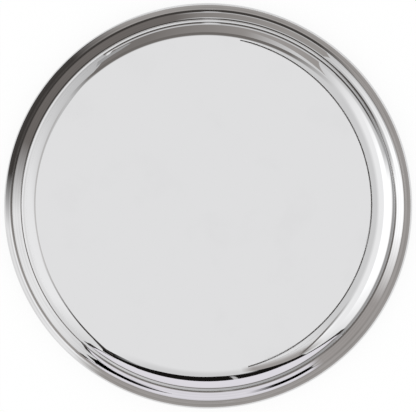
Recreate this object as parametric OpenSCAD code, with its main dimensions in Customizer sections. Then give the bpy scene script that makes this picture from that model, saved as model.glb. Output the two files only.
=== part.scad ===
// Thali plate: a round, shallow dinner plate with a flat mirror-bright floor.
// It is one disc of stainless steel sheet. The press draws it into a flat floor, a hollow
// cove, a small step with a tight bend at its foot and at its head, a rounded shoulder and
// a hollow rise. The raw edge is then rolled outwards and under itself into a hollow bead.
// Millimetres, +Z up, origin at the middle of the flat underside.

/* [Whole plate] */

// Width over the rolled rim
plate_d = 280; // [200:1:360]
// Thickness of the steel sheet
sheet_t = 0.8; // [0.5:0.05:1.5]

/* [Wall] */

// Food-side radius of the hollow cove in which the wall rises from the flat floor
cove_r = 16; // [10:0.1:24]
// Slope at which the cove gives way to the foot of the step, in degrees
cove_end = 36; // [25:1:45]
// Food-side radius of the tighter hollow bend at the foot of the step
step_foot_r = 6.3; // [3:0.1:12]
// Steepest slope of the wall, between the foot and the head of the step, in degrees
wall_lean = 58; // [48:1:70]
// Food-side radius of the rounded bend at the head of the step
step_head_r = 5.4; // [3:0.1:10]
// Slope at which the head of the step gives way to the shoulder, in degrees
step_head_end = 38; // [30:1:45]
// Food-side radius of the rounded shoulder above the step
shoulder_r = 10.4; // [6:0.1:18]
// Slope at which the shoulder gives way to the rise under the rim, in degrees
shoulder_end = 20; // [10:0.5:28]

/* [Rolled rim] */

// Food-side radius of the hollow rise between the shoulder and the bead
rise_r = 8.2; // [3:0.1:12]
// Slope of the sheet where it enters the bead, in degrees
rise_end = 48; // [35:1:60]
// Outer radius of the rolled bead
bead_r = 2.6; // [1.8:0.1:4]
// Turn of the sheet round the bead, in degrees
curl_turn = 280; // [200:1:285]

/* [Hidden] */

// Largest step along the cove, the wall's other arcs and round the bead, in degrees
cove_step = 2;
wall_step = 3;
bead_step = 9;

// Sides of the turned surface
$fn = 180;

// A whole turn and a quarter turn, in degrees
whole_turn = 360;
quarter_turn = whole_turn / 4;

// Outward normal of the sheet's underside at a slope, in the plane of the section
function away(slope) = [sin(slope), -cos(slope)];

// Width of each stretch of the wall, seen from above
cove_w = cove_r * sin(cove_end);
step_foot_w = step_foot_r * (sin(wall_lean) - sin(cove_end));
step_head_w = step_head_r * (sin(wall_lean) - sin(step_head_end));
shoulder_w = shoulder_r * (sin(step_head_end) - sin(shoulder_end));
rise_w = rise_r * (sin(rise_end) - sin(shoulder_end));
bead_w = bead_r * (1 + sin(rise_end));
wall_w = cove_w + step_foot_w + step_head_w + shoulder_w;

// Radius of the flat floor, which is what the wall and the rim leave
floor_r = plate_d / 2 - bead_w - rise_w - wall_w;

// Middles of the six arcs. Each lies on the line through its neighbour's middle and the
// point where the two meet, so the sheet runs on without a kink. The cove, the foot of the
// step and the rise have theirs over the food side, the head of the step, the shoulder and
// the bead have theirs under it.
cove_mid = [floor_r, sheet_t + cove_r];
step_foot_mid = cove_mid + (cove_r - step_foot_r) * away(cove_end);
step_head_mid = step_foot_mid + (step_foot_r + step_head_r) * away(wall_lean);
shoulder_mid = step_head_mid + (shoulder_r - step_head_r) * away(step_head_end);
rise_mid = shoulder_mid - (shoulder_r + rise_r) * away(shoulder_end);
bead_mid = rise_mid + (rise_r + bead_r) * away(rise_end);

// Directions from an arc's middle to the sheet at a slope, below a hollow arc's middle
// and above a rounded one's
function hollow_at(slope) = slope - quarter_turn;
function rounded_at(slope) = slope + quarter_turn;

// Directions from the bead's middle to where the sheet enters it and to its raw edge
curl_from = rounded_at(rise_end);
curl_to = curl_from - curl_turn;

// Points along an arc, both ends included
function arc(mid, radius, from, to, step) =
    let (count = ceil(abs(to - from) / step))
    [
        for (i = [0 : count])
            let (at = from + (to - from) * i / count)
            mid + radius * [cos(at), sin(at)]
    ];

// One skin of the sheet from the floor's edge to the end of the curl. The depth is how far
// the skin lies under the food side: nothing for the upper skin, the sheet for the lower.
function skin(depth) = concat(
    arc(cove_mid, cove_r + depth, hollow_at(0), hollow_at(cove_end), cove_step),
    arc(step_foot_mid, step_foot_r + depth, hollow_at(cove_end), hollow_at(wall_lean), wall_step),
    arc(step_head_mid, step_head_r - depth, rounded_at(wall_lean), rounded_at(step_head_end), wall_step),
    arc(shoulder_mid, shoulder_r - depth, rounded_at(step_head_end), rounded_at(shoulder_end), wall_step),
    arc(rise_mid, rise_r + depth, hollow_at(shoulder_end), hollow_at(rise_end), wall_step),
    arc(bead_mid, bead_r - depth, curl_from, curl_to, bead_step)
);

// A list of points from its last to its first
function reversed(points) = [
    for (i = [len(points) - 1 : -1 : 0])
        points[i]
];

// Every piece of the plate

// Piece to draw

// The sheet's section, from the axis to the end of the curl
module sheet_section() {
    polygon(concat(
        [[0, sheet_t]],
        skin(0),
        reversed(skin(sheet_t)),
        [[0, 0]]
    ));
}

// One pressed and rolled sheet: floor, wall and rim without a join
module pressed_plate() {
    color([0.78, 0.79, 0.8])
        rotate_extrude()
            sheet_section();
}

pressed_plate();
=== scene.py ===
"""Thali plate: the looks of a round dinner plate pressed from one disc of stainless steel.

Metres, +Z up, origin at the middle of the flat underside. +X is right and +Y is up in the
photograph.
"""

import math
from typing import NamedTuple

import bmesh
import bpy
from mathutils import Matrix, Vector


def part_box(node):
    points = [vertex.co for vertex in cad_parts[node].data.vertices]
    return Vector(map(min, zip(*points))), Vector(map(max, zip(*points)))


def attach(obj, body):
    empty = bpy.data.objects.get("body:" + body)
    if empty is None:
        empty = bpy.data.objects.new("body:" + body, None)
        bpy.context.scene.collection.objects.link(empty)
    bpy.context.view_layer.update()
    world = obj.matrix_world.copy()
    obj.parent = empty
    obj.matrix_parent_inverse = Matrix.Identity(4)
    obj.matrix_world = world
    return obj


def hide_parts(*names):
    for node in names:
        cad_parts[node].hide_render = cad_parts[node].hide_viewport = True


bl_info = {
    "name": "Thali plate",
    "version": (1, 0, 0),
    "blender": (4, 5, 0),
    "location": "3D View > Sidebar > Thali plate",
    "description": "Builds the pressed steel plate, its polish, the stage and the camera",
    "category": "Add Mesh",
}

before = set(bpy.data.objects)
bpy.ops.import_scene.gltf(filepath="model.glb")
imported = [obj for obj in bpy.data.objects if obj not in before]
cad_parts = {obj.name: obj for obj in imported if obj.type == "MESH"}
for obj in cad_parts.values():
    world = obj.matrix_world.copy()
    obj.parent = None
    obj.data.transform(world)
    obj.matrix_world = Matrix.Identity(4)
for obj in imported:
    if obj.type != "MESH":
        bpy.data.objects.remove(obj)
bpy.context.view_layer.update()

NODE = "pressed_plate"
BODY = "root"

MM = 0.001
TURN = 2 * math.pi
# Directions that the stage is laid out by
UP = Vector((0, 0, 1))
PICTURE_UP = Vector((0, 1, 0))
# The section is drawn over +X, and turning about this axis goes from +X towards +Z
SECTION_AXIS = (0, -1, 0)
# Points closer than this are one point
WELD = 0.001 * MM
# Edges that turn more sharply than this stay sharp: those of the sheet's raw edge
SHARP_FROM = math.radians(40)
# A ring of points this far inside the floor's edge keeps the mirror flat up to there
FLAT_RING = 0.1 * MM

# The wiped patches' width, the distance between two polishing lines, the length over which
# a line comes and goes, and the two radii between which the lines come in
WIPED_PATCH = 40 * MM
LINE_PITCH = 1.5 * MM
LINE_LENGTH = 30 * MM
LINES_START = 124 * MM
LINES_FULL = 130 * MM

# The floor lies this far under the plate, so that the two share no plane
FLOOR_GAP = 0.05 * MM
FLOOR_SIDES = 96
# Each card hangs this much nearer to the plate than the one before it
CARD_GAP = 15 * MM
# Sides of the sphere that cards are cut from, and the step down an upright band in degrees
SPHERE_SIDES = 72
BAND_STEP = 3

# The photograph's frame in pixels, and the width of the plate in it
FRAME_W = 416
PLATE_W = 408


def rim_radius():
    """Radius over the rolled rim: the largest that stays inside the CAD node's box."""
    low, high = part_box(NODE)
    return min(-low.x, -low.y, high.x, high.y)


def sheet_top():
    """Height of the food side above the underside, which is the CAD sheet's thickness."""
    return 0.8 * MM


class PlateForm(bpy.types.PropertyGroup):
    """Sizes of the pressed sheet. The radii are those of its food side."""

    rim: bpy.props.FloatProperty(
        name="Rim radius",
        description="From the plate's axis to the outside of the rolled bead",
        default=rim_radius(),
        precision=5,
        unit="LENGTH",
    )
    sheet: bpy.props.FloatProperty(
        name="Sheet",
        description="Thickness of the steel sheet",
        default=sheet_top(),
        precision=5,
        unit="LENGTH",
    )
    cove: bpy.props.FloatProperty(
        name="Cove",
        description="Radius of the hollow cove at the foot of the wall",
        default=16 * MM,
        precision=5,
        unit="LENGTH",
    )
    cove_slope: bpy.props.FloatProperty(
        name="Slope after the cove",
        description="Slope at which the cove gives way to the foot of the step",
        default=math.radians(36),
        subtype="ANGLE",
    )
    step_foot: bpy.props.FloatProperty(
        name="Foot of the step",
        description="Radius of the tighter hollow bend above the cove",
        default=6.3 * MM,
        precision=5,
        unit="LENGTH",
    )
    step_slope: bpy.props.FloatProperty(
        name="Step slope",
        description="Steepest slope of the wall, in the middle of the step",
        default=math.radians(58),
        subtype="ANGLE",
    )
    step_head: bpy.props.FloatProperty(
        name="Head of the step",
        description="Radius of the rounded bend over the step",
        default=5.4 * MM,
        precision=5,
        unit="LENGTH",
    )
    head_slope: bpy.props.FloatProperty(
        name="Slope after the step",
        description="Slope at which the step gives way to the shoulder",
        default=math.radians(38),
        subtype="ANGLE",
    )
    shoulder: bpy.props.FloatProperty(
        name="Shoulder",
        description="Radius of the rounded shoulder above the step",
        default=10.4 * MM,
        precision=5,
        unit="LENGTH",
    )
    shoulder_slope: bpy.props.FloatProperty(
        name="Slope after the shoulder",
        description="Slope at which the shoulder gives way to the rise",
        default=math.radians(20),
        subtype="ANGLE",
    )
    rise: bpy.props.FloatProperty(
        name="Rise",
        description="Radius of the hollow rise between shoulder and bead",
        default=8.2 * MM,
        precision=5,
        unit="LENGTH",
    )
    rise_slope: bpy.props.FloatProperty(
        name="Slope into the bead",
        description="Slope at which the sheet enters the bead",
        default=math.radians(48),
        subtype="ANGLE",
    )
    bead: bpy.props.FloatProperty(
        name="Bead",
        description="Outer radius of the rolled bead",
        default=2.6 * MM,
        precision=5,
        unit="LENGTH",
    )
    curl: bpy.props.FloatProperty(
        name="Curl",
        description="Turn of the sheet round the bead",
        default=math.radians(280),
        subtype="ANGLE",
    )
    turn_steps: bpy.props.IntProperty(
        name="Steps round the plate",
        description="Sides of the turned surface",
        default=320,
        min=32,
    )
    fine_step: bpy.props.FloatProperty(
        name="Fine step",
        description="Step along the food side's arcs, fine enough for mirror polish",
        default=math.radians(1.5),
        subtype="ANGLE",
    )
    bead_step: bpy.props.FloatProperty(
        name="Bead step",
        description="Step round the bead",
        default=math.radians(5),
        subtype="ANGLE",
    )
    coarse_step: bpy.props.FloatProperty(
        name="Coarse step",
        description="Step along the arcs of the underside",
        default=math.radians(4),
        subtype="ANGLE",
    )


class SteelPolish(bpy.types.PropertyGroup):
    """Colour and polish of the steel."""

    colour: bpy.props.StringProperty(
        name="Steel",
        description="Colour of the clean polished steel, as sRGB hex",
        default="#DFDFE0",
    )
    smudge: bpy.props.StringProperty(
        name="Smudge",
        description="Colour of the steel under a faint wiped smudge, as sRGB hex",
        default="#DDDDDE",
    )
    clean: bpy.props.FloatProperty(
        name="Clean roughness",
        description="Roughness where the mirror is clean",
        default=0.018,
        min=0,
        max=1,
        subtype="FACTOR",
    )
    hazy: bpy.props.FloatProperty(
        name="Hazy roughness",
        description="Roughness where the polish is a little hazy",
        default=0.035,
        min=0,
        max=1,
        subtype="FACTOR",
    )
    line_colour: bpy.props.StringProperty(
        name="Polishing lines",
        description="Colour of the polishing lines round the wall, as sRGB hex",
        default="#A8A7A6",
    )
    lines: bpy.props.FloatProperty(
        name="Depth of the lines",
        description="How strongly the polishing lines show on the wall and the rim",
        default=0.5,
        min=0,
        max=1,
        subtype="FACTOR",
    )


class StageSetting(bpy.types.PropertyGroup):
    """Floor, camera and the cards that the mirror-bright steel shows."""

    floor: bpy.props.FloatProperty(
        name="Floor",
        description="Radius of the white floor",
        default=8.0,
        unit="LENGTH",
    )
    floor_colour: bpy.props.StringProperty(
        name="Floor colour",
        description="Colour of the floor, as sRGB hex",
        default="#FFFFFF",
    )
    shadow: bpy.props.FloatProperty(
        name="Shadow",
        description="Share of the floor's tone that comes from the light that falls on it",
        default=0.15,
        min=0,
        max=1,
        subtype="FACTOR",
    )
    cards: bpy.props.FloatProperty(
        name="Cards",
        description="Distance of the studio's cards from the plate",
        default=3.0,
        unit="LENGTH",
    )
    distance: bpy.props.FloatProperty(
        name="Camera distance",
        description="From the camera to the middle of the rim",
        default=1.5,
        unit="LENGTH",
    )
    lean: bpy.props.FloatProperty(
        name="Camera lean",
        description="How far the camera leans from straight overhead",
        default=math.radians(6.5),
        subtype="ANGLE",
    )
    lean_to: bpy.props.FloatProperty(
        name="Camera lean direction",
        description="Direction of the lean, anticlockwise from +X",
        default=math.radians(86),
        subtype="ANGLE",
    )
    shift: bpy.props.FloatVectorProperty(
        name="Camera shift",
        description="Shift of the lens that frames the plate, in widths of the picture",
        default=(0.0, 0.0047),
        size=2,
    )


def linear(code):
    """Linear colour with full alpha from an sRGB hex code."""
    channels = [int(code[i : i + 2], 16) / 255 for i in (1, 3, 5)]
    return [
        c / 12.92 if c <= 0.04045 else ((c + 0.055) / 1.055) ** 2.4 for c in channels
    ] + [1.0]


def add_node(tree, kind, settings=(), links=()):
    """Adds a node, sets its sockets and properties, and links sources to its sockets."""
    node = tree.nodes.new(kind)
    for name, value in settings:
        if isinstance(name, int) or name in node.inputs:
            node.inputs[name].default_value = value
        else:
            setattr(node, name, value)
    for name, source in links:
        tree.links.new(source, node.inputs[name])
    return node


def new_material(name):
    """An empty node material and its tree."""
    material = bpy.data.materials.new(name)
    material.use_nodes = True
    material.node_tree.nodes.clear()
    return material, material.node_tree


def put_in_scene(bm, name, material):
    """Makes the bmesh an object at the origin with its faces turned outwards."""
    bmesh.ops.remove_doubles(bm, verts=bm.verts, dist=WELD)
    bmesh.ops.recalc_face_normals(bm, faces=bm.faces)
    mesh = bpy.data.meshes.new(name)
    bm.to_mesh(mesh)
    bm.free()
    mesh.materials.append(material)
    piece = bpy.data.objects.new(name, mesh)
    bpy.context.scene.collection.objects.link(piece)
    return piece


# The plate


def away(slope):
    """Outward normal of the sheet's underside at a slope, in the plane of the section."""
    return Vector((math.sin(slope), 0, -math.cos(slope)))


def section_arcs(form):
    """The floor's radius and the food side's arcs as (middle, radius, turn), floor to curl.

    A hollow arc has its middle over the food side and turns upwards, a rounded arc has it
    under the sheet and turns back. Each middle lies on the line through its neighbour's and
    the point where the two arcs meet, so the sheet runs on without a kink.
    """
    wall = (
        (form.cove, form.cove_slope),
        (form.step_foot, form.step_slope),
        (form.step_head, form.head_slope),
        (form.shoulder, form.shoulder_slope),
        (form.rise, form.rise_slope),
    )
    floor = form.rim - form.bead * (1 + math.sin(form.rise_slope))
    slope = 0
    for radius, end in wall:
        floor -= radius * abs(math.sin(end) - math.sin(slope))
        slope = end
    arcs = []
    at = Vector((floor, 0, form.sheet))
    slope = 0
    for radius, end in wall + ((form.bead, form.rise_slope - form.curl),):
        side = 1 if end > slope else -1
        middle = at - side * radius * away(slope)
        arcs.append((middle, radius, end - slope))
        at = middle + side * radius * away(end)
        slope = end
    return floor, arcs


def draw_to(bm, vert, place):
    """A straight edge from the vertex to a place. Returns the new vertex."""
    made = bmesh.ops.extrude_vert_indiv(bm, verts=[vert])
    end = made["verts"][0]
    end.co = place
    return end


def draw_arc(bm, vert, middle, turn, step):
    """A run of edges round a middle. Returns its last vertex."""
    made = bmesh.ops.spin(
        bm,
        geom=[vert],
        cent=middle,
        axis=SECTION_AXIS,
        angle=turn,
        steps=max(1, math.ceil(abs(turn) / step)),
        use_duplicate=False,
    )
    return [g for g in made["geom_last"] if isinstance(g, bmesh.types.BMVert)][0]


def spun_plate(form):
    """The closed skin of the sheet: its section drawn with the arcs, then turned."""
    floor, arcs = section_arcs(form)
    bm = bmesh.new()
    tip = bmesh.ops.create_vert(bm, co=(0, 0, form.sheet))["vert"][0]
    tip = draw_to(bm, tip, (floor - FLAT_RING, 0, form.sheet))
    tip = draw_to(bm, tip, (floor, 0, form.sheet))
    for middle, radius, turn in arcs:
        step = form.bead_step if radius == form.bead else form.fine_step
        tip = draw_arc(bm, tip, middle, turn, step)
    # The raw edge of the sheet, then the underside back to the axis
    bead_mid = arcs[-1][0]
    tip = draw_to(bm, tip, tip.co + (bead_mid - tip.co).normalized() * form.sheet)
    for middle, radius, turn in reversed(arcs):
        step = 2 * form.bead_step if radius == form.bead else form.coarse_step
        tip = draw_arc(bm, tip, middle, -turn, step)
    draw_to(bm, tip, (0, 0, 0))
    bmesh.ops.spin(
        bm,
        geom=bm.verts[:] + bm.edges[:],
        cent=(0, 0, 0),
        axis=UP,
        angle=TURN,
        steps=form.turn_steps,
        use_merge=True,
        use_duplicate=False,
    )
    return bm


def polished_steel(polish):
    """Stainless steel sheet, pressed and then mirror-polished on a wheel.

    It mirrors what stands round it almost sharply. Where it was wiped or handled the mirror
    is a little hazier and a shade darker, in soft patches a few centimetres wide. The wheel
    left fine lines round the wall and the rim, which the flat floor lacks.
    """
    material, tree = new_material("mirror-polished stainless steel")
    place = add_node(tree, "ShaderNodeTexCoord")
    # Wiped patches a few centimetres wide
    wiped = add_node(
        tree,
        "ShaderNodeTexNoise",
        (("Scale", 1 / WIPED_PATCH), ("Detail", 3.0), ("Roughness", 0.55)),
        (("Vector", place.outputs["Object"]),),
    )
    patch = add_node(
        tree,
        "ShaderNodeMapRange",
        (("From Min", 0.5), ("From Max", 0.75), ("interpolation_type", "SMOOTHSTEP")),
        (("Value", wiped.outputs["Fac"]),),
    )
    haze = add_node(
        tree,
        "ShaderNodeMapRange",
        (("To Min", polish.clean), ("To Max", polish.hazy)),
        (("Value", patch.outputs["Result"]),),
    )
    tone = add_node(
        tree,
        "ShaderNodeMix",
        (("data_type", "RGBA"),),
        (("Factor", patch.outputs["Result"]),),
    )
    tone.inputs["A"].default_value = linear(polish.colour)
    tone.inputs["B"].default_value = linear(polish.smudge)
    steel = add_node(
        tree,
        "ShaderNodeBsdfPrincipled",
        (("Metallic", 1.0),),
        (("Roughness", haze.outputs["Result"]),),
    )
    # Polishing lines, drawn much coarser than the real ones so that they show. The flat
    # floor and the cove have none
    flat = add_node(
        tree,
        "ShaderNodeVectorMath",
        (("operation", "MULTIPLY"), (1, (1, 1, 0))),
        ((0, place.outputs["Object"]),),
    )
    reach = add_node(
        tree,
        "ShaderNodeVectorMath",
        (("operation", "LENGTH"),),
        ((0, flat.outputs["Vector"]),),
    )
    lines = add_node(
        tree,
        "ShaderNodeTexNoise",
        (("noise_dimensions", "1D"), ("Scale", 1 / LINE_PITCH), ("Detail", 2.0)),
        (("W", reach.outputs["Value"]),),
    )
    depth = add_node(
        tree,
        "ShaderNodeMapRange",
        (("From Min", LINES_START), ("From Max", LINES_FULL), ("To Max", polish.lines)),
        (("Value", reach.outputs["Value"]),),
    )
    worn = add_node(
        tree,
        "ShaderNodeMapRange",
        (("From Min", 0.35), ("From Max", 0.7), ("interpolation_type", "SMOOTHSTEP")),
        (("Value", lines.outputs["Fac"]),),
    )
    mark = add_node(
        tree,
        "ShaderNodeMath",
        (("operation", "MULTIPLY"),),
        ((0, depth.outputs["Result"]), (1, worn.outputs["Result"])),
    )
    # No line runs all the way round: each comes and goes
    broken = add_node(
        tree,
        "ShaderNodeTexNoise",
        (("Scale", 1 / LINE_LENGTH), ("Detail", 2.0)),
        (("Vector", place.outputs["Object"]),),
    )
    kept = add_node(
        tree,
        "ShaderNodeMapRange",
        (("From Min", 0.3), ("From Max", 0.6), ("To Min", 0.3)),
        (("Value", broken.outputs["Fac"]),),
    )
    mark = add_node(
        tree,
        "ShaderNodeMath",
        (("operation", "MULTIPLY"),),
        ((0, mark.outputs[0]), (1, kept.outputs["Result"])),
    )
    lined = add_node(
        tree,
        "ShaderNodeMix",
        (("data_type", "RGBA"),),
        (("Factor", mark.outputs[0]),),
    )
    tree.links.new(tone.outputs["Result"], lined.inputs["A"])
    lined.inputs["B"].default_value = linear(polish.line_colour)
    tree.links.new(lined.outputs["Result"], steel.inputs["Base Color"])
    add_node(
        tree,
        "ShaderNodeOutputMaterial",
        (),
        (("Surface", steel.outputs["BSDF"]),),
    )
    return material


class THALI_OT_plate(bpy.types.Operator):
    """Spin the pressed sheet with its wall and rolled bead, and polish it"""

    bl_idname = "thali.plate"
    bl_label = "Polished plate"

    def execute(self, context):
        scene = context.scene
        bm = spun_plate(scene.plate_form)
        plate = put_in_scene(bm, "polished_plate", polished_steel(scene.steel_polish))
        plate.data.shade_smooth()
        plate.data.set_sharp_from_angle(angle=SHARP_FROM)
        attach(plate, BODY)
        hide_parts(NODE)
        return {"FINISHED"}


# The stage


def direction(azimuth, drop):
    """Unit vector: degrees anticlockwise from +X, and degrees down from overhead."""
    a, d = math.radians(azimuth), math.radians(drop)
    return Vector((math.sin(d) * math.cos(a), math.sin(d) * math.sin(a), math.cos(d)))


def glow_material(name, colours, stops, heights):
    """Lit matt card stock: an even glow without shine, that changes round the plate's axis.

    The colours are those where it is dim and where it is as bright as white. A stop is
    (azimuth, share of white), or (azimuth, share of white, opacity). The heights, where
    there are any, are the two between which the card comes in, from clear to full.
    """
    # For the strips close to the plate this glow is painted shade and painted reflection on
    # the steel
    material, tree = new_material(name)
    place = add_node(tree, "ShaderNodeTexCoord")
    # Nothing at the azimuth of -180 degrees, a half at 0, one at 180
    around = add_node(
        tree,
        "ShaderNodeTexGradient",
        (("gradient_type", "RADIAL"),),
        (("Vector", place.outputs["Object"]),),
    )
    ramp = add_node(tree, "ShaderNodeValToRGB", (), (("Fac", around.outputs["Fac"]),))
    marks = []
    dim, white = (Vector(linear(colour)[:3]) for colour in colours)
    for azimuth, share, *clear in stops:
        tint = dim.lerp(white, min(1, share)) * share / BRIGHTEST
        marks.append(((azimuth + 180) % 360 / 360, *tint, *(clear or [1])))
    marks.sort()
    if len(marks) > 1:
        # Both ends of the ramp lie at -180 degrees, between the last stop and the first
        last, first = marks[-1], marks[0]
        part = (1 - last[0]) / (1 - last[0] + first[0])
        seam = [a + (b - a) * part for a, b in zip(last[1:], first[1:])]
        marks = [(0, *seam), *marks, (1, *seam)]
    elements = ramp.color_ramp.elements
    elements.remove(elements[1])
    for i, (at, *shade) in enumerate(marks):
        mark = elements.new(at) if i else elements[0]
        mark.position = at
        mark.color = shade
    light = add_node(
        tree,
        "ShaderNodeEmission",
        (("Strength", BRIGHTEST),),
        (("Color", ramp.outputs["Color"]),),
    )
    solid = ramp.outputs["Alpha"]
    if heights:
        part = add_node(
            tree,
            "ShaderNodeSeparateXYZ",
            (),
            (("Vector", place.outputs["Object"]),),
        )
        coming = add_node(
            tree,
            "ShaderNodeMapRange",
            (
                ("interpolation_type", "SMOOTHSTEP"),
                ("From Min", heights[0]),
                ("From Max", heights[1]),
            ),
            (("Value", part.outputs["Z"]),),
        )
        solid = add_node(
            tree,
            "ShaderNodeMath",
            (("operation", "MULTIPLY"),),
            ((0, solid), (1, coming.outputs["Result"])),
        ).outputs[0]
    clear = add_node(tree, "ShaderNodeBsdfTransparent")
    both = add_node(
        tree,
        "ShaderNodeMixShader",
        (),
        ((0, solid), (1, clear.outputs[0]), (2, light.outputs[0])),
    )
    add_node(
        tree,
        "ShaderNodeOutputMaterial",
        (),
        (("Surface", both.outputs[0]),),
    )
    return material


def hang(bm, plan, heights):
    """Hangs a card or ring that only the steel shows.

    The camera, the light and the shadows pass through it. The heights are those between
    which it comes in, or none.
    """
    material = glow_material(plan.name, plan.colours, plan.stops, heights)
    card = put_in_scene(bm, plan.name, material)
    card.visible_camera = False
    card.visible_diffuse = False
    card.visible_shadow = False


def bend_strip(places, middle, first, last):
    """A line through places over +X, bent round an upright axis between two azimuths."""
    bm = bmesh.new()
    tip = bmesh.ops.create_vert(bm, co=places[0])["vert"][0]
    for place in places[1:]:
        tip = draw_to(bm, tip, place)
    turn = Matrix.Rotation(math.radians(first), 3, UP)
    bmesh.ops.rotate(bm, verts=bm.verts, matrix=turn)
    bmesh.ops.translate(bm, verts=bm.verts, vec=middle)
    bmesh.ops.spin(
        bm,
        geom=bm.verts[:] + bm.edges[:],
        cent=middle,
        axis=UP,
        angle=math.radians(last - first),
        steps=max(1, math.ceil(last - first)),
        use_duplicate=False,
    )
    return bm


def cut_card(corners, distance):
    """A card bent to a sphere round the plate.

    The corners are directions from the plate, as (azimuth, drop) in degrees. Two are the
    opposite corners of an upright band, three or more are joined by straight edges.
    """
    if len(corners) == 2:
        (first, head), (last, foot) = corners
        count = max(1, math.ceil((foot - head) / BAND_STEP))
        drops = [head + (foot - head) * i / count for i in range(count + 1)]
        places = [distance * direction(0, drop) for drop in drops]
        return bend_strip(places, Vector(), first, last)
    ways = [direction(*c) for c in corners]
    inside = sum(ways, Vector()).normalized()
    bm = bmesh.new()
    bmesh.ops.create_uvsphere(
        bm,
        u_segments=SPHERE_SIDES,
        v_segments=SPHERE_SIDES // 2,
        radius=distance,
    )
    for here, after in zip(ways, ways[1:] + ways[:1]):
        normal = here.cross(after)
        if normal.dot(inside) > 0:
            normal.negate()
        bmesh.ops.bisect_plane(
            bm,
            geom=bm.verts[:] + bm.edges[:] + bm.faces[:],
            plane_co=(0, 0, 0),
            plane_no=normal,
            clear_outer=True,
        )
    return bm


# Pairs of colours of what the steel shows: where it is dim, and where it is as bright as
# white
WHITE = ("#FFFFFF", "#FFFFFF")
COOL = ("#FBF8FE", "#FBF8FE")
WARM = ("#FFF4EC", "#FFFFFF")
BROWN = ("#FFF2EA", "#FFFFFF")

# The most that a card gives, as a share of white
BRIGHTEST = 1.7


class Card(NamedTuple):
    """A far card: what glow_material takes, and the corners that cut_card takes.

    The fade, where there is one, is the two drops between which the card comes in.
    """

    name: str
    colours: tuple
    stops: tuple
    corners: tuple
    fade: tuple = ()


class Ring(NamedTuple):
    """A ring or bent strip close to the plate, with its lengths in millimetres.

    The section's points are (distance from the middle, height). The fade, where there is
    one, is the two heights between which the strip comes in. The ends are azimuths.
    """

    name: str
    colours: tuple
    stops: tuple
    section: tuple
    fade: tuple = ()
    middle: tuple = (0, 0)
    ends: tuple = (0, 360)


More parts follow.
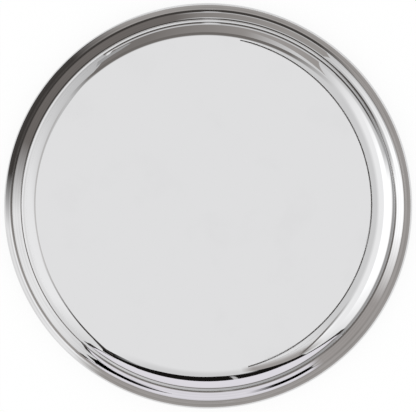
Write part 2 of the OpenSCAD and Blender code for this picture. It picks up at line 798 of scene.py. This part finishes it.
# The studio's cards from back to front: the walls on the right and on the left with their
# edges, the grey wall beyond the picture's foot, the dark gap overhead, and the window with
# its frame beyond the picture's head
CARDS = (
    Card(
        "right_wall_edge",
        WARM,
        stops=((0, 0.85), (46, 0.03)),
        corners=((0, 10.4), (0, 11.6), (50, 43), (55, 40)),
    ),
    Card(
        "right_wall_edge_far",
        WARM,
        stops=((322, 0.7, 0), (336, 0.7, 1), (2, 0.7, 1), (8, 0.7, 0)),
        corners=((322, 10), (368, 12)),
    ),
    Card(
        "right_wall",
        WHITE,
        stops=((299, 0.6), (345, 1.05), (22, 1.1), (44, 0.9)),
        corners=(
            (299, 14), (0, 11.5), (50, 42.5), (45.5, 54), (42.5, 88), (0, 88), (299, 88),
        ),
    ),
    Card(
        "left_wall_edge",
        WARM,
        stops=((132, 0.02), (160, 0.8)),
        corners=((165, 10.5), (127, 37), (123.5, 35), (143, 11), (165, 8)),
    ),
    Card(
        "left_wall",
        WHITE,
        stops=((130, 0.8), (166, 1.4), (205, 1.4), (236, 0.8)),
        corners=(
            (180, 8), (145, 12.6), (127, 36), (130, 42), (140.7, 88), (237.5, 88),
            (237.2, 13.3),
        ),
    ),
    Card(
        "left_wall_far_foot",
        WHITE,
        stops=((196, 0.75, 0), (204, 0.75, 1), (236, 0.75, 1)),
        corners=((196, 50), (236, 88)),
        fade=(50, 60),
    ),
    Card(
        "left_wall_foot",
        WARM,
        stops=((137, 0.45, 1), (180, 0.45, 1), (200, 0.45, 0)),
        corners=((137, 64), (200, 88)),
        fade=(64, 80),
    ),
    Card(
        "left_corner_dark",
        WARM,
        stops=((208, 0.1, 0), (216, 0.1, 1), (241, 0.1, 1)),
        corners=((208, 66), (241, 88)),
        fade=(66, 71),
    ),
    Card(
        "right_wall_foot",
        WARM,
        stops=((-30, 0.45, 0), (-10, 0.45, 1), (43, 0.45, 1)),
        corners=((-30, 76), (43, 88)),
        fade=(76, 84),
    ),
    Card(
        "grey_wall",
        WARM,
        stops=((250, 0.43), (285, 0.24)),
        corners=(
            (237, 14), (259, 14.2), (296, 15.1), (302, 24), (300, 45), (297, 66),
            (237, 66),
        ),
    ),
    Card(
        "grey_wall_notch",
        WHITE,
        stops=((0, 0.45),),
        corners=((291, 53), (294, 46), (302, 43), (302, 60), (292, 58)),
    ),
    Card(
        "grey_wall_foot",
        WHITE,
        stops=((0, 0.75),),
        corners=((231, 61), (296, 70)),
        fade=(61, 64),
    ),
    Card(
        "grey_ground",
        WARM,
        stops=((0, 0.2),),
        corners=((237, 68), (300, 88)),
        fade=(68, 71),
    ),
    Card(
        "grey_slit",
        WHITE,
        stops=((266, 0.95, 0), (267.5, 0.95, 1), (270, 0.95, 1), (271.5, 0.95, 0)),
        corners=((266, 69), (271.5, 88)),
    ),
    Card(
        "dark_gap",
        WARM,
        stops=((0, 0.01),),
        corners=((225, 1.2), (63, 14.5), (58, 50), (58, 80), (132, 80), (131.5, 24)),
    ),
    Card(
        "dark_gap_end",
        WARM,
        stops=((0, 0.01),),
        corners=((71, 12.2), (52, 18.6), (46, 28), (49, 44), (66, 32)),
    ),
    Card(
        "slit_in_gap",
        WHITE,
        stops=((0, 0.6),),
        corners=((106, 8), (108, 8), (103.5, 27), (101.5, 27)),
    ),
    Card(
        "window_frame_right",
        WARM,
        stops=((0, 0.05),),
        corners=((54, 41), (44.5, 54), (42, 89), (48, 89)),
    ),
    Card(
        "window_frame_left",
        WARM,
        stops=((0, 0.05),),
        corners=((119, 31), (123, 27.7), (143.5, 58), (144.5, 89), (137, 89)),
    ),
    Card(
        "window",
        COOL,
        stops=((0, 1.0),),
        corners=(
            (44.5, 88), (47.5, 54), (52.5, 43.4), (66.6, 32.2), (81, 26.7), (97, 25.2),
            (121, 28.5), (140.5, 60), (142, 88),
        ),
    ),
    Card(
        "window_bench",
        WARM,
        stops=((47, 0.4, 0), (54, 0.4, 1), (139, 0.4, 1)),
        corners=((47, 58), (139, 88)),
        fade=(58, 70),
    ),
    Card(
        "window_ground",
        WARM,
        stops=((47, 0.25, 0), (54, 0.25, 1), (139, 0.2, 1)),
        corners=((47, 68), (139, 88)),
        fade=(68, 76),
    ),
    Card(
        "window_slit",
        WHITE,
        stops=((95, 0.75, 0), (96.5, 0.75, 1), (98.5, 0.75, 1), (100, 0.75, 0)),
        corners=((95, 72), (100, 88)),
    ),
)

# Tones of the strips close to the plate that paint shade and reflections on the steel, as
# shares of white
UNLIT = 0
BLACK = 0.07
DARK = 0.2
GREY = 0.45
PALE = 0.8
BRIGHT = 1.1

# The painted shade and painted reflections: narrow glowing strips close to the plate that
# only the steel shows, each of one tone or a few, that paint the steps of the wall and the
# edge of the floor with dark and light lines
RINGS = (
    # Painted shade on the shoulder: dark at the upper left, grey at the lower right
    Ring(
        "shoulder_painted_shade_left",
        BROWN,
        stops=((93, DARK, 0), (100, DARK, 1), (160, DARK, 1), (182, DARK, 0)),
        section=((128.4, 6.4), (128.4, 24)),
        ends=(93, 182),
    ),
    Ring(
        "shoulder_painted_shade_right",
        BROWN,
        stops=((302, GREY, 0), (306, GREY, 1), (330, GREY, 1), (352, GREY, 0)),
        section=((128.4, 6.4), (128.4, 24)),
        ends=(302, 352),
    ),
    # Painted shade and painted reflections on the step: black and dark lines at its head
    # and foot, and a grey to bright band between them
    Ring(
        "step_head_painted_reflection",
        WARM,
        stops=((40, DARK), (56, PALE), (112, PALE), (135, DARK)),
        section=((128.45, 6.2), (128.45, 6.65)),
    ),
    Ring(
        "step_head_painted_shade_top",
        WARM,
        stops=((26, BLACK, 0), (42, BLACK, 1), (160, BLACK, 1), (178, BLACK, 0)),
        section=((128.45, 6.65), (128.45, 7.6)),
        ends=(26, 178),
    ),
    Ring(
        "step_head_painted_shade_right",
        WARM,
        stops=((304, DARK, 0), (313, DARK, 1), (345, DARK, 1), (30, DARK, 0)),
        section=((128.45, 6.65), (128.45, 7.6)),
        ends=(304, 390),
    ),
    Ring(
        "step_foot_painted_shade_top",
        WARM,
        stops=((14, BLACK, 0), (36, BLACK, 1), (116, BLACK, 1), (124, BLACK, 0)),
        section=((126.5, 4.05), (126.5, 4.5)),
        ends=(14, 124),
    ),
    Ring(
        "step_foot_painted_shade_low",
        WARM,
        stops=((228, DARK, 0), (236, DARK, 1), (308, DARK, 1), (325, DARK, 0)),
        section=((126.5, 4.05), (126.5, 4.5)),
        ends=(228, 325),
    ),
    Ring(
        "step_painted_reflection",
        WHITE,
        stops=((30, GREY), (55, PALE), (190, BRIGHT), (300, GREY)),
        section=((126.5, 4.5), (126.5, 5.4)),
    ),
    # Painted shade in the groove, black from the top round to the left, and painted
    # reflections on the bead and its edge, black at the upper left and bright beside it
    Ring(
        "groove_painted_shade",
        WARM,
        stops=((42, GREY), (56, BLACK), (168, BLACK), (195, GREY)),
        section=((134.3, 9.6), (134.3, 11.2)),
    ),
    Ring(
        "bead_painted_reflection",
        WARM,
        stops=(
            (115, GREY), (132, BLACK), (170, BLACK), (187, BRIGHT), (228, BRIGHT),
            (238, GREY),
        ),
        section=(
            (141.2, 12.4), (140.6, 15), (138.6, 16), (136, 15.4), (134.9, 13.4),
            (134.5, 11.3),
        ),
    ),
    Ring(
        "bead_edge_painted_reflection",
        WHITE,
        stops=((104, BRIGHT), (126, BLACK), (166, BLACK), (182, BRIGHT)),
        section=((141.4, 11.2), (141.2, 12.4)),
    ),
    # Painted shade: two unlit strips over the wall that lay black patches on it at the
    # lower left and lower right
    Ring(
        "foot_painted_shade_left",
        WARM,
        stops=((233, UNLIT, 0), (235, UNLIT, 1), (245, UNLIT, 1), (256, UNLIT, 0)),
        section=((130.2, 9.3), (132.4, 9.3)),
        ends=(230, 258),
    ),
    Ring(
        "foot_painted_shade_right",
        WARM,
        stops=((282, UNLIT, 0), (290, UNLIT, 1), (302, UNLIT, 1), (303.5, UNLIT, 0)),
        section=((130.2, 9.3), (132.4, 9.3)),
        ends=(280, 308),
    ),
    # Painted reflections: low strips, each bent round its own middle, that paint dark,
    # grey, white and pale lines and edges into the steel near the edge of the floor
    Ring(
        "dark_line_left",
        WARM,
        stops=((196, BLACK, 0), (224, BLACK, 1), (237, BLACK, 1)),
        section=((140.8, 2.8), (141.6, 2.8)),
        middle=(19.4, 9.35),
        ends=(196, 233),
    ),
    Ring(
        "faint_line_left",
        WARM,
        stops=((141, GREY, 0), (150, GREY, 0.5), (200, GREY, 0.5), (214, GREY, 0)),
        section=((122.3, 2.7), (123.1, 2.7)),
        middle=(3.5, 0.15),
        ends=(140, 215),
    ),
    Ring(
        "dark_line_right",
        WARM,
        stops=((301, DARK, 0), (303, DARK, 1), (312, DARK, 1), (328, DARK, 0)),
        section=((176.1, 2.8), (176.9, 2.8)),
        middle=(-48, 33.75),
        ends=(309, 330),
    ),
    Ring(
        "white_edge_right",
        WHITE,
        stops=((305, BRIGHT, 0), (318, BRIGHT, 1), (30, BRIGHT, 1), (48, BRIGHT, 0)),
        section=((123.2, 2.9), (127.2, 3.7)),
        fade=(2.9, 3.4),
        middle=(-7.15, 0.24),
        ends=(300, 410),
    ),
    Ring(
        "grey_edge_top",
        WARM,
        stops=((44, DARK, 0), (62, DARK, 1), (130, DARK, 1), (142, DARK, 0)),
        section=((120.0, 2.9), (121.7, 3.4)),
        fade=(2.9, 3.1),
        middle=(-0.75, -2.67),
        ends=(40, 146),
    ),
    Ring(
        "grey_edge_foot",
        WARM,
        stops=((281, GREY, 0), (285, GREY, 1), (303, GREY, 1), (311, GREY, 0)),
        section=((116.2, 3.0), (120.2, 3.5)),
        fade=(3.0, 3.4),
        middle=(6.8, 2.9),
        ends=(278, 314),
    ),
    Ring(
        "pale_edge_right",
        WHITE,
        stops=((300, PALE, 0), (318, PALE, 1), (60, PALE, 1), (78, PALE, 0)),
        section=((117.9, 4), (122.2, 4)),
        middle=(-4.4, 0.3),
        ends=(300, 438),
    ),
    Ring(
        "pale_edge_foot",
        WHITE,
        stops=((238, PALE, 0), (250, PALE, 1), (280, PALE, 1), (287, PALE, 0)),
        section=((133, 3.2), (136.8, 4.6)),
        fade=(3.2, 4.6),
        middle=(0, 18),
        ends=(236, 290),
    ),
    # A painted reflection: higher over the plate, so that the floor shows it as a fine dark
    # line
    Ring(
        "floor_painted_line",
        WARM,
        stops=((0, BLACK),),
        section=((129.05, 160), (130.05, 160)),
        middle=(-6.1, -17.4),
        ends=(286, 437),
    ),
)


def lay_floor(setting):
    """White floor that keeps a share of the plate's shadow."""
    material, tree = new_material("matt white studio floor")
    path = add_node(tree, "ShaderNodeLightPath")
    seen = add_node(
        tree,
        "ShaderNodeMath",
        (("operation", "ADD"), ("use_clamp", True)),
        ((0, path.outputs["Is Camera Ray"]), (1, path.outputs["Is Glossy Ray"])),
    )
    seen = add_node(
        tree,
        "ShaderNodeMath",
        (("operation", "ADD"), ("use_clamp", True)),
        ((0, seen.outputs[0]), (1, path.outputs["Is Transmission Ray"])),
    )
    share = add_node(
        tree,
        "ShaderNodeMath",
        (("operation", "MULTIPLY"), (1, 1 - setting.shadow)),
        ((0, seen.outputs[0]),),
    )
    lit = add_node(
        tree,
        "ShaderNodeBsdfDiffuse",
        (("Color", linear(setting.floor_colour)),),
    )
    white = add_node(tree, "ShaderNodeEmission", (("Strength", 1.0),))
    both = add_node(
        tree,
        "ShaderNodeMixShader",
        (),
        ((0, share.outputs[0]), (1, lit.outputs[0]), (2, white.outputs[0])),
    )
    # Clear from below, so that the plate's underside can be looked at
    side = add_node(tree, "ShaderNodeNewGeometry")
    clear = add_node(tree, "ShaderNodeBsdfTransparent")
    from_above = add_node(
        tree,
        "ShaderNodeMixShader",
        (),
        ((0, side.outputs["Backfacing"]), (1, both.outputs[0]), (2, clear.outputs[0])),
    )
    add_node(
        tree,
        "ShaderNodeOutputMaterial",
        (),
        (("Surface", from_above.outputs[0]),),
    )
    bm = bmesh.new()
    bmesh.ops.create_circle(
        bm,
        cap_ends=True,
        segments=FLOOR_SIDES,
        radius=setting.floor,
        matrix=Matrix.Translation((0, 0, -FLOOR_GAP)),
    )
    floor = put_in_scene(bm, "studio_floor", material)
    if floor.data.polygons[0].normal.z < 0:
        floor.data.flip_normals()


def light_world():
    """Even white light from everywhere."""
    world = bpy.data.worlds.new("even white light")
    world.use_nodes = True
    tree = world.node_tree
    tree.nodes.clear()
    sky = add_node(
        tree,
        "ShaderNodeBackground",
        (("Color", linear("#FFFFFF")), ("Strength", 1.0)),
    )
    add_node(
        tree,
        "ShaderNodeOutputWorld",
        (),
        (("Surface", sky.outputs["Background"]),),
    )
    bpy.context.scene.world = world


def place_camera(form, setting):
    """A long lens almost overhead, with the top of the picture towards +Y."""
    _, arcs = section_arcs(form)
    rim_middle = Vector((0, 0, arcs[-1][0].z))
    lean = direction(math.degrees(setting.lean_to), math.degrees(setting.lean))
    right = PICTURE_UP.cross(lean).normalized()
    up = lean.cross(right)
    data = bpy.data.cameras.new("camera")
    data.lens = data.sensor_width * setting.distance * PLATE_W / FRAME_W / (2 * form.rim)
    data.shift_x, data.shift_y = setting.shift
    camera = bpy.data.objects.new("camera", data)
    turn = Matrix((right, up, lean)).transposed().to_4x4()
    camera.matrix_world = (
        Matrix.Translation(rim_middle + lean * setting.distance) @ turn
    )
    bpy.context.scene.collection.objects.link(camera)
    bpy.context.scene.camera = camera


class THALI_OT_stage(bpy.types.Operator):
    """Lay the floor, light the world, hang the cards and place the camera"""

    bl_idname = "thali.stage"
    bl_label = "Stage and camera"

    def execute(self, context):
        scene = context.scene
        setting = scene.stage_setting
        lay_floor(setting)
        light_world()
        for i, card in enumerate(CARDS):
            distance = setting.cards - i * CARD_GAP
            heights = [distance * direction(0, drop).z for drop in card.fade]
            hang(cut_card(card.corners, distance), card, heights)
        for ring in RINGS:
            places = [Vector((out, 0, height)) * MM for out, height in ring.section]
            middle = Vector((*ring.middle, 0)) * MM
            heights = [height * MM for height in ring.fade]
            hang(bend_strip(places, middle, *ring.ends), ring, heights)
        place_camera(scene.plate_form, setting)
        scene.view_settings.view_transform = "Standard"
        return {"FINISHED"}


# The add-on


class THALI_PT_panel(bpy.types.Panel):
    """Lists the plate's operators and sizes"""

    bl_label = "Thali plate"
    bl_idname = "THALI_PT_panel"
    bl_space_type = "VIEW_3D"
    bl_region_type = "UI"
    bl_category = "Thali plate"

    def draw(self, context):
        layout = self.layout
        for operator in (THALI_OT_plate, THALI_OT_stage):
            layout.operator(operator.bl_idname)
        scene = context.scene
        for group in (scene.plate_form, scene.steel_polish, scene.stage_setting):
            box = layout.box()
            for name in group.__annotations__:
                box.prop(group, name)


CLASSES = (
    PlateForm,
    SteelPolish,
    StageSetting,
    THALI_OT_plate,
    THALI_OT_stage,
    THALI_PT_panel,
)


def register():
    for cls in CLASSES:
        bpy.utils.register_class(cls)
    bpy.types.Scene.plate_form = bpy.props.PointerProperty(type=PlateForm)
    bpy.types.Scene.steel_polish = bpy.props.PointerProperty(type=SteelPolish)
    bpy.types.Scene.stage_setting = bpy.props.PointerProperty(type=StageSetting)


def unregister():
    del bpy.types.Scene.stage_setting
    del bpy.types.Scene.steel_polish
    del bpy.types.Scene.plate_form
    for cls in reversed(CLASSES):
        bpy.utils.unregister_class(cls)


def main():
    register()
    bpy.ops.thali.plate()
    bpy.ops.thali.stage()


if __name__ == "__main__":
    main()
